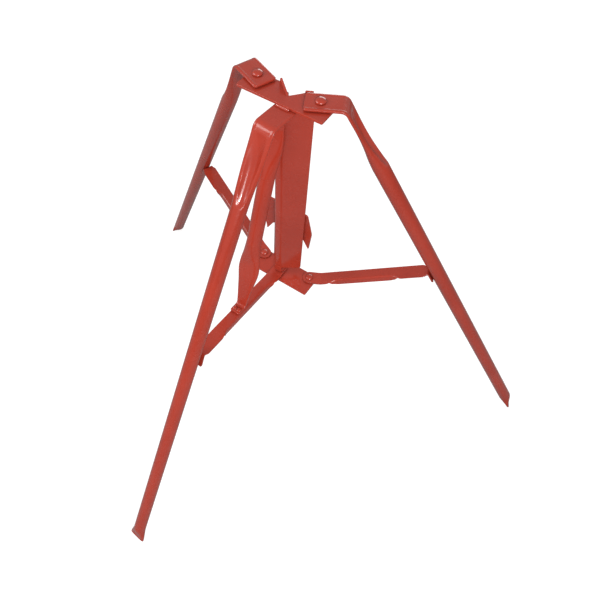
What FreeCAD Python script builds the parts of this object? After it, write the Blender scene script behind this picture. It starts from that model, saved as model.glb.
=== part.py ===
"""Folding tripod stand for a pipe vise: crushed-end tube legs, riveted sheet braces, pressed brackets.

Millimetres, +Z up.  The front leg points along -Y.  Everything is drawn with Z = 0 on the upper
bracket's top face and X = 0 midway between the two swing pivots; at the end it is moved so that
the origin is on the floor, under the middle of the stand's box.
"""
import FreeCAD
import Part

import math
import os

V = FreeCAD.Vector

# --- overall size -------------------------------------------------------------------------
FLOOR_DROP = 833.0          # upper bracket's top face to the floor
HUB_DROP = 407.0            # upper bracket's top face to the lower bracket's top face
RIGHT_JOINT_DROP = 342.0    # upper bracket's top face to where a brace's line meets its leg's axis
LEFT_JOINT_DROP = 356.0
FRONT_JOINT_DROP = 372.0
LEG_SLOPE = 28.9            # each leg to the vertical, degrees

# --- places of the three legs in plan -----------------------------------------------------
PIVOT_X = 52.5              # each swing pivot from the middle
PIVOT_Y = 5.5
RIGHT_AZIMUTH = 27.4        # direction of each leg from its pivot, degrees from +X
LEFT_AZIMUTH = 157.6
FRONT_AZIMUTH = 265.0
FRONT_LINE_X = 16.2         # where the front leg's plane crosses the line of the pivots
FRONT_RIVET = (-6.5, -3.0)  # front brace's rivet in the lower bracket
FRONT_BRACE_SHIFT = 4.0     # front brace's end is this far to the side of the leg's plane

# --- leg tube -----------------------------------------------------------------------------
TUBE_R = 12.7
TUBE_WALL = 2.1
FLAT_HALF = 18.0            # half width of the tube where it is pressed flat
FLAT_THICK = 5.2            # two walls and the seam between them
SWING_REACH = 35.5          # pivot to the bend of a swinging leg
SWING_INNER = 22.0          # pivot to the inner end of its tab
FRONT_REACH = 66.0          # pivot line to the bend of the front leg
FRONT_INNER = -19.5         # the front leg's tab starts this far short of the pivot line
BEND_R = 8.0                # neutral radius of the bend
CRUSH_LENGTH = 122.0        # bend to where the tube is round again
TROUGH = 9.0                # how far the rims stand over the trough's middle line
FOOT_LENGTH = 34.0          # pressed chisel end of the foot
SECTION_STEPS = 20          # sides of a pressed section
BEND_STEPS = 4              # flats round a bend

# --- brackets -----------------------------------------------------------------------------
PLATE = 4.0
TOP_ENDS = (-69.0, 74.0)    # upper bracket
TOP_FRONT = -24.0
LOWER_ENDS = (-66.0, 66.0)  # lower bracket
LOWER_FRONT = -30.5
BRACKET_REAR = 16.0
BRACKET_CORNER = 2.0
LIP_THICK = 3.0
NOTCH_CLEAR = 36.5          # left pivot to the near corner of the notch, clear of the turning tab
NOTCH = ((NOTCH_CLEAR - PIVOT_X, 11.0), (6.5, -3.0), (19.0, 11.0))   # V cut in the top bracket's rear
LUG_TIP = 0.12              # the lug's point, as a share of the way along the notch's left side
LUG_HEIGHT = 13.0
STOP_LIP = (-23.0, -11.0)   # stop lip beside the right leg's tab: from and to, along the tab
STOP_LIP_HEIGHT = 4.5
STOP_GAP = 0.8

# --- column and back plate ----------------------------------------------------------------
SHEET = 3.0
COLUMN_FRONT_HALF = 7.0     # half width of the column's narrow front wall
COLUMN_FRONT_Y = -17.5
COLUMN_CLEAR = 6.5          # right pivot to the column's rear corner beside it
COLUMN_TOP_SIDES = (-18.0, PIVOT_X - COLUMN_CLEAR)   # rear corners, upper end; it leans and tapers
COLUMN_BOTTOM_SIDES = (-31.0, 33.0)   # and at the lower end
COLUMN_LEAN = -4.5          # the lower end's front wall is this far to the side
COLUMN_SIDE_Y = 7.0
COLUMN_RETURN = 18.0        # width of the flange turned in at each rear edge
COLUMN_OPEN = 19.0          # the column's sides end this far over the lower bracket
COLUMN_DROP = HUB_DROP - COLUMN_OPEN
BACK_TOP_DROP = 239.0
BACK_BOTTOM_DROP = 326.0
BACK_HALF_TOP = 40.0
BACK_HALF_MIDDLE = 50.0
BACK_HALF_BOTTOM = 45.0
BACK_RIVET_X = (-14.6, 23.2)
BACK_ARCH_HALF = 30.0
BACK_ARCH_RISE = 26.0

# --- braces -------------------------------------------------------------------------------
BRACE_SHEET = 2.5
BRACE_HALF = 13.0           # half width of the strip where it is flat
BRACE_NECK = 6.0            # the turned-down edge takes this much off the strip's width
BRACE_FLANGE = 12.0         # depth of the turned-down edge
PAD_R = 13.0
PAD_LENGTH = 20.0           # rivet to where the strip starts to rise
TURN_START = 32.0           # rivet to where the edge starts to turn down
TURN_END = 48.0             # leg's axis to where the edge is flat again
TURN_RUN = 24.0             # length over which the edge turns down
TAB_HALF = 10.0             # tab turned down along the leg's inner side
TAB_DROP = 24.0
TAB_RIVET_DROP = 12.0       # strip to the middle of the tab's two rivets, down the leg
TAB_RIVET_PITCH = 11.0
BLIND_TAIL = 0.7            # flat tail of a blind rivet stands this far off the round bore

# --- centre strut -------------------------------------------------------------------------
STRUT_MIDDLE = (-57.0, -165.0)      # y and z of a point on the strut's axis
STRUT_FOOT_Y = -127.0               # y of the bend at its lower end
STRUT_TAB = 24.0                    # flat above the upper bend
STRUT_TOE = 21.5                    # flat past the lower bend
STRUT_TOP_RUN = ((0, 10, 5.2), (10, 12, 6.5), (24, 13.6, 12), (42, 13.4, 20), (60, 12.7, 25.4))
STRUT_FOOT_RUN = ((0, 10, 5.2), (20, 12, 5.2), (50, 16, 5.2), (80, 20.3, 6.2), (100, 19.2, 9),
                  (118, 16.4, 17), (137, 13.9, 23.5), (150, 12.7, 25.4))
STRUT_BEND_R = 7.0
STRUT_RIVET_PITCH = 9.0
STRUT_RIVET_OUT = 14.0              # lower bend to its two rivets

# --- weld ---------------------------------------------------------------------------------
WELD_R = 3.5
WELD_FROM = -1.0
WELD_TO = 22.0

# --- rivets -------------------------------------------------------------------------------
PIVOT_SHANK_R = 5.0
PIVOT_HEAD_R = 9.0
PIVOT_TAIL_R = 7.0
HUB_SHANK_R = 4.0
HUB_HEAD_R = 7.0
RIVET_SHANK_R = 3.0
RIVET_HEAD_R = 4.6
RIVET_TAIL_R = 3.6
HEAD_RATIO = 0.5            # height of a head as a share of its radius
HEAD_CROWN = 0.55           # flat on top of a head as a share of its radius
HEAD_SIDES = 12

# --- clearances ---------------------------------------------------------------------------
RUN_GAP = 0.05              # radial, between a turning hole and its shank
FACE_GAP = 0.3              # between flat faces that slide on each other
TIGHT_GAP = 0.02            # radial, between a fixed rivet and its hole
SEAT_GAP = 0.05             # between pressed parts that are riveted face to face
FOOT_TAIL_GAP = 0.3         # under the front brace, which lies a degree out of true with the strut

LEG_DIR = V(math.sin(math.radians(LEG_SLOPE)), 0, -math.cos(math.radians(LEG_SLOPE)))
LEG_OUT = V(math.cos(math.radians(LEG_SLOPE)), 0, math.sin(math.radians(LEG_SLOPE)))
SIDE = V(0, 1, 0)


# ------------------------------------------------------------------------------------------
# sections of a pressed tube
# ------------------------------------------------------------------------------------------
def signed_power(value, power):
    return math.copysign(abs(value) ** power, value)


def section_points(half, thick, trough, swell, power):
    """Outline of a tube section as (sideways, outward) pairs.

    half: half width; thick: thickness in the middle; trough: rise of the rims;
    swell: extra thickness of the rims; power: 1 is an ellipse, less is squarer.
    """
    points = []
    for i in range(SECTION_STEPS):
        angle = 2 * math.pi * i / SECTION_STEPS
        across = signed_power(round(math.cos(angle), 9), power)
        up = signed_power(round(math.sin(angle), 9), power)
        lift = trough * (across ** 2 - 0.5)
        depth = thick / 2 + swell * across ** 2
        points.append((half * across, lift + depth * up))
    return points


def section_ring(origin, sideways, outward, points):
    return [origin + sideways * u + outward * v for u, v in points]


def skin(rings):
    """Solid with flat facets drawn over rings of points, closed at both ends."""
    faces = [Part.Face(Part.makePolygon(ring + ring[:1])) for ring in (rings[0], rings[-1])]
    for lower, upper in zip(rings, rings[1:]):
        for i in range(len(lower)):
            j = (i + 1) % len(lower)
            for corners in ((lower[i], lower[j], upper[j]), (lower[i], upper[j], upper[i])):
                faces.append(Part.Face(Part.makePolygon(list(corners) + [corners[0]])))
    shell = Part.Shell(faces)
    shell.sewShape()
    solid = Part.Solid(shell)
    if solid.Volume < 0:
        solid.reverse()
    return solid


def bend_rings(ring, centre, axis, angle):
    """Copies of a ring turned about an axis, in BEND_STEPS steps."""
    rings = []
    for i in range(1, BEND_STEPS + 1):
        turn = FreeCAD.Rotation(axis, angle * i / BEND_STEPS)
        rings.append([centre + turn.multVec(p - centre) for p in ring])
    return rings


def flat_section():
    return section_points(FLAT_HALF, FLAT_THICK, 0.0, 0.0, 0.5)


def crushed_section(share):
    """Section of the crushed length: share 0 at the bend, 1 where the tube is round again."""
    ease = share * share * (3 - 2 * share)
    half = FLAT_HALF + (TUBE_R - FLAT_HALF) * share
    thick = FLAT_THICK + (2 * TUBE_R - FLAT_THICK) * ease ** 1.6
    fade = math.sin(math.pi * min(1.0, share * 1.15 + 0.12)) if share < 0.95 else 0.0
    trough = TROUGH * max(0.0, fade) * min(1.0, share * 8)
    power = 0.5 + 0.5 * min(1.0, share * 4)
    return section_points(half, thick, trough, 0.2 * trough, power)


# ------------------------------------------------------------------------------------------
# a leg, in its own plane: X outwards from the pivot, Z up, tab middle plane at z = 0
# ------------------------------------------------------------------------------------------
def leg_shape(reach, inner, drop):
    """Tube leg with a flat tab on top; drop is the height of the tab's middle over the floor."""
    turn = 90.0 - LEG_SLOPE
    setback = BEND_R * math.tan(math.radians(turn / 2))
    corner = V(reach, 0, 0)
    start = V(reach - setback, 0, 0)
    rings = [section_ring(V(-inner, 0, 0), SIDE, V(0, 0, 1), flat_section()),
             section_ring(start, SIDE, V(0, 0, 1), flat_section())]
    rings += bend_rings(rings[-1], start - V(0, 0, BEND_R), SIDE, turn)
    for share in (0.1, 0.25, 0.45, 0.7, 1.0):
        place = corner + LEG_DIR * (setback + (CRUSH_LENGTH - setback) * share)
        rings.append(section_ring(place, SIDE, LEG_OUT, crushed_section(share)))

    length = drop / math.cos(math.radians(LEG_SLOPE))
    round_end = length - FOOT_LENGTH
    tube = Part.makeCylinder(TUBE_R, round_end - CRUSH_LENGTH, corner + LEG_DIR * CRUSH_LENGTH, LEG_DIR)
    bore = Part.makeCylinder(TUBE_R - TUBE_WALL, round_end - CRUSH_LENGTH - 2 * TUBE_R,
                             corner + LEG_DIR * (CRUSH_LENGTH + TUBE_R), LEG_DIR)
    foot = foot_shape(corner + LEG_DIR * round_end)
    leg = skin(rings).fuse([tube, foot]).cut(bore)
    below = Part.makeBox(400, 200, 200, V(reach + length * LEG_DIR.x - 200, -100, -drop - 200))
    return leg.cut(below)


def foot_shape(start):
    """Chisel end: the tube pressed flat across the leg's plane, run past the floor for trimming."""
    rings = []
    for share, over in ((0.0, 0.0), (0.5, 0.0), (1.0, 0.0), (1.0, 1.0)):
        ease = share * share * (3 - 2 * share)
        half = TUBE_R + (FLAT_HALF - TUBE_R) * ease
        thick = 2 * TUBE_R + (FLAT_THICK - 2 * TUBE_R) * ease
        place = start + LEG_DIR * (FOOT_LENGTH * share + 12.0 * over)
        points = section_points(half, thick, 0.0, 0.0, 1.0 - 0.5 * ease)
        rings.append(section_ring(place, SIDE, LEG_OUT, points))
    return skin(rings)


def leg_axis_x(reach, height):
    """How far out the leg's axis is at a height over its tab's middle (negative is below)."""
    return reach - height * math.tan(math.radians(LEG_SLOPE))


# ------------------------------------------------------------------------------------------
# rivets
# ------------------------------------------------------------------------------------------
def ring(radius, place, axis):
    """Many-sided ring about an axis."""
    first = axis.cross(V(1, 0, 0) if abs(axis.x) < 0.7 else V(0, 0, 1)).normalize()
    second = axis.cross(first)
    turns = [2 * math.pi * i / HEAD_SIDES for i in range(HEAD_SIDES)]
    return [place + (first * math.cos(t) + second * math.sin(t)) * radius for t in turns]


def dome(radius, place, direction):
    """Low rivet head standing on place, pointing along direction."""
    top = place + direction * (radius * HEAD_RATIO)
    return skin([ring(radius, place, direction), ring(radius * HEAD_CROWN, top, direction)])


def rivet(shank_r, head_r, tail_r, head_at, tail_at):
    """Fixed rivet with its head seated at head_at and its closed tail seated at tail_at."""
    axis = (head_at - tail_at).normalize()
    shank = skin([ring(shank_r, tail_at, axis), ring(shank_r, head_at, axis)])
    return shank.fuse([dome(head_r, head_at, axis), dome(tail_r, tail_at, axis * -1)])


def pivot_rivet(shank_r, head_r, tail_r, head_at, tail_at):
    """The same with a round shank, on which a leg or a brace turns."""
    axis = (head_at - tail_at).normalize()
    shank = Part.makeCylinder(shank_r, head_at.distanceToPoint(tail_at), tail_at, axis)
    return shank.fuse([dome(head_r, head_at, axis), dome(tail_r, tail_at, axis * -1)])


def drill(shape, radius, place, direction, length):
    start = place - direction * (length / 2)
    return shape.cut(Part.makeCylinder(radius, length, start, direction))


# ------------------------------------------------------------------------------------------
# brackets
# ------------------------------------------------------------------------------------------
def bracket_plate(ends, front, top_z):
    plate = Part.makeBox(ends[1] - ends[0], BRACKET_REAR - front, PLATE, V(ends[0], front, top_z - PLATE))
    uprights = [e for e in plate.Edges if abs(e.tangentAt(e.FirstParameter).z) > 0.9]
    return plate.makeFillet(BRACKET_CORNER, uprights)


def prism(points, direction):
    """Solid swept from a closed outline of points."""
    face = Part.Face(Part.makePolygon([V(*p) for p in points] + [V(*points[0])]))
    return face.extrude(direction)


def notch_prism(extra):
    """The V cut in the rear edge, carried on past the edge."""
    (x0, y0), (x1, y1), (x2, y2) = NOTCH
    points = [(x0, y0, -PLATE - extra), (x1, y1, -PLATE - extra), (x2, y2, -PLATE - extra),
              (x2 + 4, BRACKET_REAR + 1, -PLATE - extra), (x0 - 4, BRACKET_REAR + 1, -PLATE - extra)]
    return prism(points, V(0, 0, PLATE + 2 * extra))


def top_bracket():
    plate = bracket_plate(TOP_ENDS, TOP_FRONT, 0).cut(notch_prism(1))
    # pointed lug turned up along the left side of the notch
    start = V(NOTCH[0][0], NOTCH[0][1], -PLATE)
    end = V(NOTCH[1][0], NOTCH[1][1], -PLATE)
    run = end - start
    tip = start + run * LUG_TIP + V(0, 0, PLATE + LUG_HEIGHT)
    inward = V(run.y, -run.x, 0).normalize()
    outline = [start, end, end + V(0, 0, PLATE), tip + run.normalize(), tip, start + V(0, 0, PLATE)]
    lug = prism([(p.x, p.y, p.z) for p in outline], inward * LIP_THICK)
    # stop lip turned up beside the inner corner of the right leg's tab
    azimuth = math.radians(RIGHT_AZIMUTH)
    tab = V(math.cos(azimuth), math.sin(azimuth), 0)
    side = V(-tab.y, tab.x, 0)
    first, last = [V(PIVOT_X, PIVOT_Y, -PLATE) + tab * reach + side * (FLAT_HALF + STOP_GAP)
                   for reach in STOP_LIP]
    plan = [first, last, last + side * LIP_THICK, first + side * LIP_THICK]
    lip = prism([tuple(q) for q in plan], V(0, 0, PLATE + STOP_LIP_HEIGHT))
    plan = [first - side * 6, last - side * 6, last + side * LIP_THICK, first + side * LIP_THICK]
    root = prism([tuple(q) for q in plan], V(0, 0, PLATE))
    bracket = plate.fuse([lug, lip, root])
    for side in (-1, 1):
        bracket = drill(bracket, PIVOT_SHANK_R + TIGHT_GAP, V(side * PIVOT_X, PIVOT_Y, 0), V(0, 0, 1), 20)
    return bracket.removeSplitter()


def lower_bracket():
    bracket = bracket_plate(LOWER_ENDS, LOWER_FRONT, -HUB_DROP)
    places = [V(-PIVOT_X, PIVOT_Y, -HUB_DROP), V(PIVOT_X, PIVOT_Y, -HUB_DROP), V(*FRONT_RIVET, -HUB_DROP)]
    for place in places:
        bracket = drill(bracket, HUB_SHANK_R + TIGHT_GAP, place, V(0, 0, 1), 20)
    return bracket


# ------------------------------------------------------------------------------------------
# column
# ------------------------------------------------------------------------------------------
def offset_outline(points, thickness):
    """Closed outline of a sheet bent along points, with its thickness on the left of the run."""
    moved = []
    for i, here in enumerate(points):
        normals = []
        for a, b in zip(points[max(0, i - 1):i + 1], points[max(0, i - 1) + 1:i + 2]):
            run = (b - a).normalize()
            normals.append(V(-run.y, run.x, 0))
        mean = normals[0] if len(normals) == 1 else (normals[0] + normals[1]).normalize()
        moved.append(here + mean * (thickness / mean.dot(normals[0])))
    return points + moved[::-1]


def column_run(sides, middle):
    """Outer line of the column in plan, from the left rear flange round to the right one."""
    left, right = sides
    return [V(left + COLUMN_RETURN, COLUMN_SIDE_Y, 0), V(left, COLUMN_SIDE_Y, 0),
            V(middle - COLUMN_FRONT_HALF, COLUMN_FRONT_Y, 0), V(middle + COLUMN_FRONT_HALF, COLUMN_FRONT_Y, 0),
            V(right, COLUMN_SIDE_Y, 0), V(right - COLUMN_RETURN, COLUMN_SIDE_Y, 0)]


def column():
    upper = offset_outline(column_run(COLUMN_TOP_SIDES, 0.0), SHEET)
    lower = offset_outline(column_run(COLUMN_BOTTOM_SIDES, COLUMN_LEAN), SHEET)
    body = skin([[p - V(0, 0, PLATE) for p in upper], [p - V(0, 0, COLUMN_DROP) for p in lower]])
    # the front wall runs on as a tongue, turned back over the front brace's pad
    pad_top = -HUB_DROP + BRACE_SHEET
    down = Part.makeBox(2 * COLUMN_FRONT_HALF, SHEET, HUB_DROP - COLUMN_DROP - BRACE_SHEET + 1,
                        V(COLUMN_LEAN - COLUMN_FRONT_HALF, COLUMN_FRONT_Y, pad_top))
    back = Part.makeBox(2 * COLUMN_FRONT_HALF, FRONT_RIVET[1] + 8 - COLUMN_FRONT_Y, SHEET,
                        V(COLUMN_LEAN - COLUMN_FRONT_HALF, COLUMN_FRONT_Y, pad_top))
    body = body.fuse([down, back]).removeSplitter()
    return drill(body, HUB_SHANK_R + TIGHT_GAP, V(*FRONT_RIVET, pad_top), V(0, 0, 1), 20)


def back_plate():
    y = COLUMN_SIDE_Y
    middle = -(BACK_TOP_DROP + BACK_BOTTOM_DROP) / 2
    right = [(BACK_HALF_TOP, y, -BACK_TOP_DROP), (BACK_HALF_MIDDLE, y, middle),
             (BACK_HALF_BOTTOM, y, -BACK_BOTTOM_DROP), (BACK_ARCH_HALF, y, -BACK_BOTTOM_DROP + BACK_ARCH_RISE)]
    left = [(-x, yy, z) for x, yy, z in right[::-1]]
    plate = prism(right + left, V(0, SHEET, 0))
    for place in back_rivet_places():
        plate = drill(plate, RIVET_SHANK_R + TIGHT_GAP, place, SIDE, 20)
    return plate


def back_rivet_places():
    drops = (BACK_TOP_DROP + 12, BACK_BOTTOM_DROP - 36)
    return [V(x, COLUMN_SIDE_Y, -drop) for x in BACK_RIVET_X for drop in drops]


def column_assembly():
    post = column()
    rivets = []
    for place in back_rivet_places():
        post = drill(post, RIVET_SHANK_R + TIGHT_GAP, place, SIDE, 20)
        rivets.append(rivet(RIVET_SHANK_R, RIVET_HEAD_R, RIVET_TAIL_R,
                            place + SIDE * SHEET, place - SIDE * SHEET))
    return post, rivets


# ------------------------------------------------------------------------------------------
# brace, in a leg's own plane: the leg's plane is y = 0, the rivet's axis x = 0, and the lower
# bracket's top face z = 0
# ------------------------------------------------------------------------------------------
def brace_parts(leg_x, rise, pad_y, end_y, edge, hole_gap):
    """Strip brace from its pad to a leg; its line, carried on, meets the leg's axis leg_x out at rise.

    pad_y and end_y: middle line of the strip at its two ends; edge: side (+1 or -1) of the
    turned-down edge.  Gives the brace, its two rivets and their places on the leg's axis.
    """
    foot = V(PAD_LENGTH, 0, 0)
    along = (V(leg_x, 0, rise) - foot).normalize()
    up = V(-along.z, 0, along.x)
    inner = TUBE_R + SEAT_GAP
    join = V(leg_x, 0, rise) - along * ((inner + BRACE_SHEET / 2) / along.dot(LEG_OUT))
    length = (join - foot).Length

    def middle(x):
        return pad_y + (end_y - pad_y) * min(1.0, max(0.0, x / leg_x))

    def spot(s, y, w):
        return tuple(foot + along * s + up * w + V(0, y, 0))

    pad = Part.makeCylinder(PAD_R, BRACE_SHEET, V(0, pad_y, 0))
    y1 = middle(PAD_LENGTH)
    neck = prism([(0, pad_y - PAD_R, 0), (PAD_LENGTH, y1 - PAD_R, 0), (PAD_LENGTH, y1 + PAD_R, 0),
                  (0, pad_y + PAD_R, 0)], V(0, 0, BRACE_SHEET))
    # flat strip, narrower where its edge is turned down
    stations = ((0, 0), (TURN_START - PAD_LENGTH, 0), (TURN_START - PAD_LENGTH + TURN_RUN, BRACE_NECK),
                (length - TURN_END - TURN_RUN, BRACE_NECK), (length - TURN_END, 0))
    turned = [(s, middle(s + PAD_LENGTH) + edge * (BRACE_HALF - less)) for s, less in stations]
    plan = turned + [(length - 8, end_y + edge * BRACE_HALF), (length, end_y + edge * TAB_HALF),
                     (length, end_y - edge * TAB_HALF), (length - 8, end_y - edge * BRACE_HALF),
                     (0, y1 - edge * BRACE_HALF)]
    web = prism([spot(s, y, 0) for s, y in plan], up * BRACE_SHEET)
    # turned-down edge
    line = [V(s, y, 0) for s, y in (turned if edge < 0 else turned[::-1])]
    outline = offset_outline(line, BRACE_SHEET)
    flange = prism([spot(q.x, q.y, -BRACE_FLANGE) for q in outline], up * (BRACE_FLANGE + BRACE_SHEET))
    taper = [spot(stations[1][0], -60, BRACE_SHEET), spot(stations[4][0], -60, BRACE_SHEET),
             spot(stations[3][0], -60, -BRACE_FLANGE), spot(stations[2][0], -60, -BRACE_FLANGE)]
    flange = flange.common(prism(taper, V(0, 120, 0)))
    # tab turned down the leg's inner side
    top = join + LEG_OUT * (BRACE_SHEET / 2) - LEG_DIR * BRACE_SHEET
    side = [top, top - LEG_OUT * BRACE_SHEET]
    side += [q + LEG_DIR * (TAB_DROP + BRACE_SHEET) for q in side[::-1]]
    tab = prism([(q.x, end_y - TAB_HALF, q.z) for q in side], V(0, 2 * TAB_HALF, 0))
    brace = pad.fuse([neck, web, flange, tab]).removeSplitter()
    brace = drill(brace, HUB_SHANK_R + hole_gap, V(0, pad_y, 0), V(0, 0, 1), 20)
    # blind rivets through the tab and the leg's inner wall
    rivets = []
    centres = []
    for share in (-0.5, 0.5):
        centre = join + LEG_OUT * (inner + BRACE_SHEET / 2)
        centre += LEG_DIR * (TAB_RIVET_DROP + share * TAB_RIVET_PITCH)
        centres.append(centre)
        head = centre - LEG_OUT * (inner + BRACE_SHEET)
        tail = centre - LEG_OUT * (TUBE_R - TUBE_WALL - BLIND_TAIL)
        brace = drill(brace, RIVET_SHANK_R + TIGHT_GAP, head, LEG_OUT, 20)
        rivets.append(rivet(RIVET_SHANK_R, RIVET_HEAD_R, RIVET_TAIL_R, head, tail))
    return brace, rivets, centres


def place(shape, origin, azimuth):
    """Turn a shape from its own plane to an azimuth and put it at an origin."""
    moved = shape.copy()
    moved.rotate(V(0, 0, 0), V(0, 0, 1), azimuth)
    moved.translate(origin)
    return moved


def swing_gate(side_x, azimuth, joint_drop):
    """Leg, brace and rivets of a swinging gate."""
    tab_z = FACE_GAP + FLAT_THICK / 2
    leg = leg_shape(SWING_REACH, SWING_INNER, FLOOR_DROP + tab_z)
    leg = drill(leg, PIVOT_SHANK_R + RUN_GAP, V(0, 0, 0), V(0, 0, 1), 40)
    hub_z = -HUB_DROP + FACE_GAP
    leg_x = leg_axis_x(SWING_REACH, -joint_drop - tab_z)
    edge = -math.copysign(1, side_x)
    brace, rivets, centres = brace_parts(leg_x, -joint_drop - hub_z, 0, 0, edge, RUN_GAP)
    for centre in centres:
        wall = centre + V(0, 0, hub_z - tab_z) - LEG_OUT * TUBE_R
        leg = drill(leg, RIVET_SHANK_R + TIGHT_GAP, wall, LEG_OUT, 10)
    pivot = V(side_x, PIVOT_Y, 0)
    at_hub = pivot + V(0, 0, hub_z)
    return (place(leg, pivot + V(0, 0, tab_z), azimuth), place(brace, at_hub, azimuth),
            [place(r, at_hub, azimuth) for r in rivets])


def front_frame():
    """Origin of the front leg's plane, abreast of the front hub rivet, and the rivet's offset."""
    out = V(math.cos(math.radians(FRONT_AZIMUTH)), math.sin(math.radians(FRONT_AZIMUTH)), 0)
    side = V(-out.y, out.x, 0)
    to_rivet = V(*FRONT_RIVET, 0) - V(FRONT_LINE_X, 0, 0)
    return out, side, to_rivet.dot(out), to_rivet.dot(side)


def front_gate():
    tab_z = -PLATE - FLAT_THICK / 2 - FACE_GAP / 2
    leg = leg_shape(FRONT_REACH, FRONT_INNER, FLOOR_DROP + tab_z)
    out, side, ahead, pad_y = front_frame()
    origin = V(FRONT_LINE_X, 0, 0)
    leg_x = leg_axis_x(FRONT_REACH, -FRONT_JOINT_DROP - tab_z) - ahead
    brace, rivets, centres = brace_parts(leg_x, HUB_DROP - FRONT_JOINT_DROP, pad_y, FRONT_BRACE_SHIFT,
                                         1, TIGHT_GAP)
    for centre in centres:
        wall = centre + V(ahead, 0, -HUB_DROP - tab_z) - LEG_OUT * TUBE_R
        leg = drill(leg, RIVET_SHANK_R + TIGHT_GAP, wall, LEG_OUT, 10)
    at_hub = origin + out * ahead + V(0, 0, -HUB_DROP)
    return (place(leg, origin + V(0, 0, tab_z), FRONT_AZIMUTH), place(brace, at_hub, FRONT_AZIMUTH),
            [place(r, at_hub, FRONT_AZIMUTH) for r in rivets])


def weld_bead():
    """Bead in the corner between the top bracket's front edge and the front leg's tab."""
    corner = V(WELD_FROM, TOP_FRONT, -PLATE - FACE_GAP / 2)
    roll = Part.makeCylinder(WELD_R, WELD_TO - WELD_FROM, corner, V(1, 0, 0))
    keep = Part.makeBox(WELD_TO - WELD_FROM, WELD_R, WELD_R, corner - V(0, WELD_R, 0))
    return roll.common(keep)


# ------------------------------------------------------------------------------------------
# centre strut, in its own plane: X is the stand's -Y, Z up
# ------------------------------------------------------------------------------------------
def web_spot(y):
    """X and height of the middle of the front brace's narrow strip at a place y, and its slope."""
    out, side, ahead, pad_y = front_frame()
    tab_z = -PLATE - FLAT_THICK / 2 - FACE_GAP / 2
    leg_x = leg_axis_x(FRONT_REACH, -FRONT_JOINT_DROP - tab_z) - ahead
    slope = (HUB_DROP - FRONT_JOINT_DROP) / (leg_x - PAD_LENGTH)
    distance = (FRONT_RIVET[1] - y) / -out.y
    offset = pad_y + (FRONT_BRACE_SHIFT - pad_y) * distance / leg_x - (BRACE_NECK + BRACE_SHEET) / 2
    spot = V(FRONT_LINE_X, 0, 0) + out * (ahead + distance) + side * offset
    return spot.x, -HUB_DROP + (distance - PAD_LENGTH) * slope + BRACE_SHEET * math.hypot(1, slope), slope


def strut():
    """Tube strut, the places and direction of its two foot rivets, and its top rivet's place."""
    middle_x = web_spot(STRUT_FOOT_Y - STRUT_RIVET_OUT)[0]
    height, slope = web_spot(STRUT_FOOT_Y)[1:]
    toe_dir = V(0, -1, slope).normalize()
    toe_up = V(0, slope, 1).normalize()
    foot = V(middle_x, STRUT_FOOT_Y, height) + toe_up * (FLAT_THICK / 2 + SEAT_GAP)
    lean = (foot.y - STRUT_MIDDLE[0]) / (foot.z - STRUT_MIDDLE[1])
    top_y = COLUMN_FRONT_Y - FLAT_THICK / 2 - SEAT_GAP
    top = V(middle_x, top_y, STRUT_MIDDLE[1] + (top_y - STRUT_MIDDLE[0]) / lean)
    run = (foot - top).normalize()
    across = V(1, 0, 0)
    crushed = STRUT_TOP_RUN[-1][0]
    length = (foot - top).Length - crushed - STRUT_FOOT_RUN[-1][0]
    start = top + run * crushed
    tube = Part.makeCylinder(TUBE_R, length, start, run)
    bore = Part.makeCylinder(TUBE_R - TUBE_WALL, length - 2 * TUBE_R, start + run * TUBE_R, run)
    upper = bent_end(top, V(0, 0, 1), run, STRUT_TAB, STRUT_TOP_RUN)
    lower = bent_end(foot, toe_dir, run * -1, STRUT_TOE, STRUT_FOOT_RUN)
    shape = tube.fuse([upper, lower]).cut(bore)
    feet = []
    for side in (-0.5, 0.5):
        spot = foot + toe_dir * STRUT_RIVET_OUT + across * (side * STRUT_RIVET_PITCH)
        shape = drill(shape, RIVET_SHANK_R + TIGHT_GAP, spot, toe_up, 20)
        feet.append(spot)
    top_rivet = V(0, top_y, top.z + STRUT_TAB * 0.6)
    shape = drill(shape, RIVET_SHANK_R + TIGHT_GAP, top_rivet, SIDE, 20)
    return shape, feet, toe_up, top_rivet


def bent_end(corner, tab_dir, tube_dir, tab, stations):
    """Flat tab, sharp bend and crushed length; stations: distance from the bend, half width, thickness."""
    across = V(1, 0, 0)
    angle = math.degrees(tab_dir.getAngle(tube_dir * -1))
    setback = STRUT_BEND_R * math.tan(math.radians(angle / 2))
    start = corner + tab_dir * setback
    flat = section_points(stations[0][1], FLAT_THICK, 0.0, 0.0, 0.5)
    tab_up = across.cross(tab_dir)
    rings = [section_ring(corner + tab_dir * tab, across, tab_up, flat),
             section_ring(start, across, tab_up, flat)]
    # the bend turns towards the tube
    centre_dir = tube_dir - tab_dir * tube_dir.dot(tab_dir)
    centre = start + centre_dir.normalize() * STRUT_BEND_R
    axis = (tab_dir * -1).cross(tube_dir).normalize()
    rings += bend_rings(rings[-1], centre, axis, angle)
    tube_up = FreeCAD.Rotation(axis, angle).multVec(tab_up)
    last = stations[-1][0]
    for distance, half, thick in stations[1:]:
        where = corner + tube_dir * (setback + distance * (last - setback) / last)
        power = 0.5 + 0.5 * min(1.0, (thick - FLAT_THICK) / 12)
        rings.append(section_ring(where, across, tube_up, section_points(half, thick, 0.0, 0.0, power)))
    return skin(rings)


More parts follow.
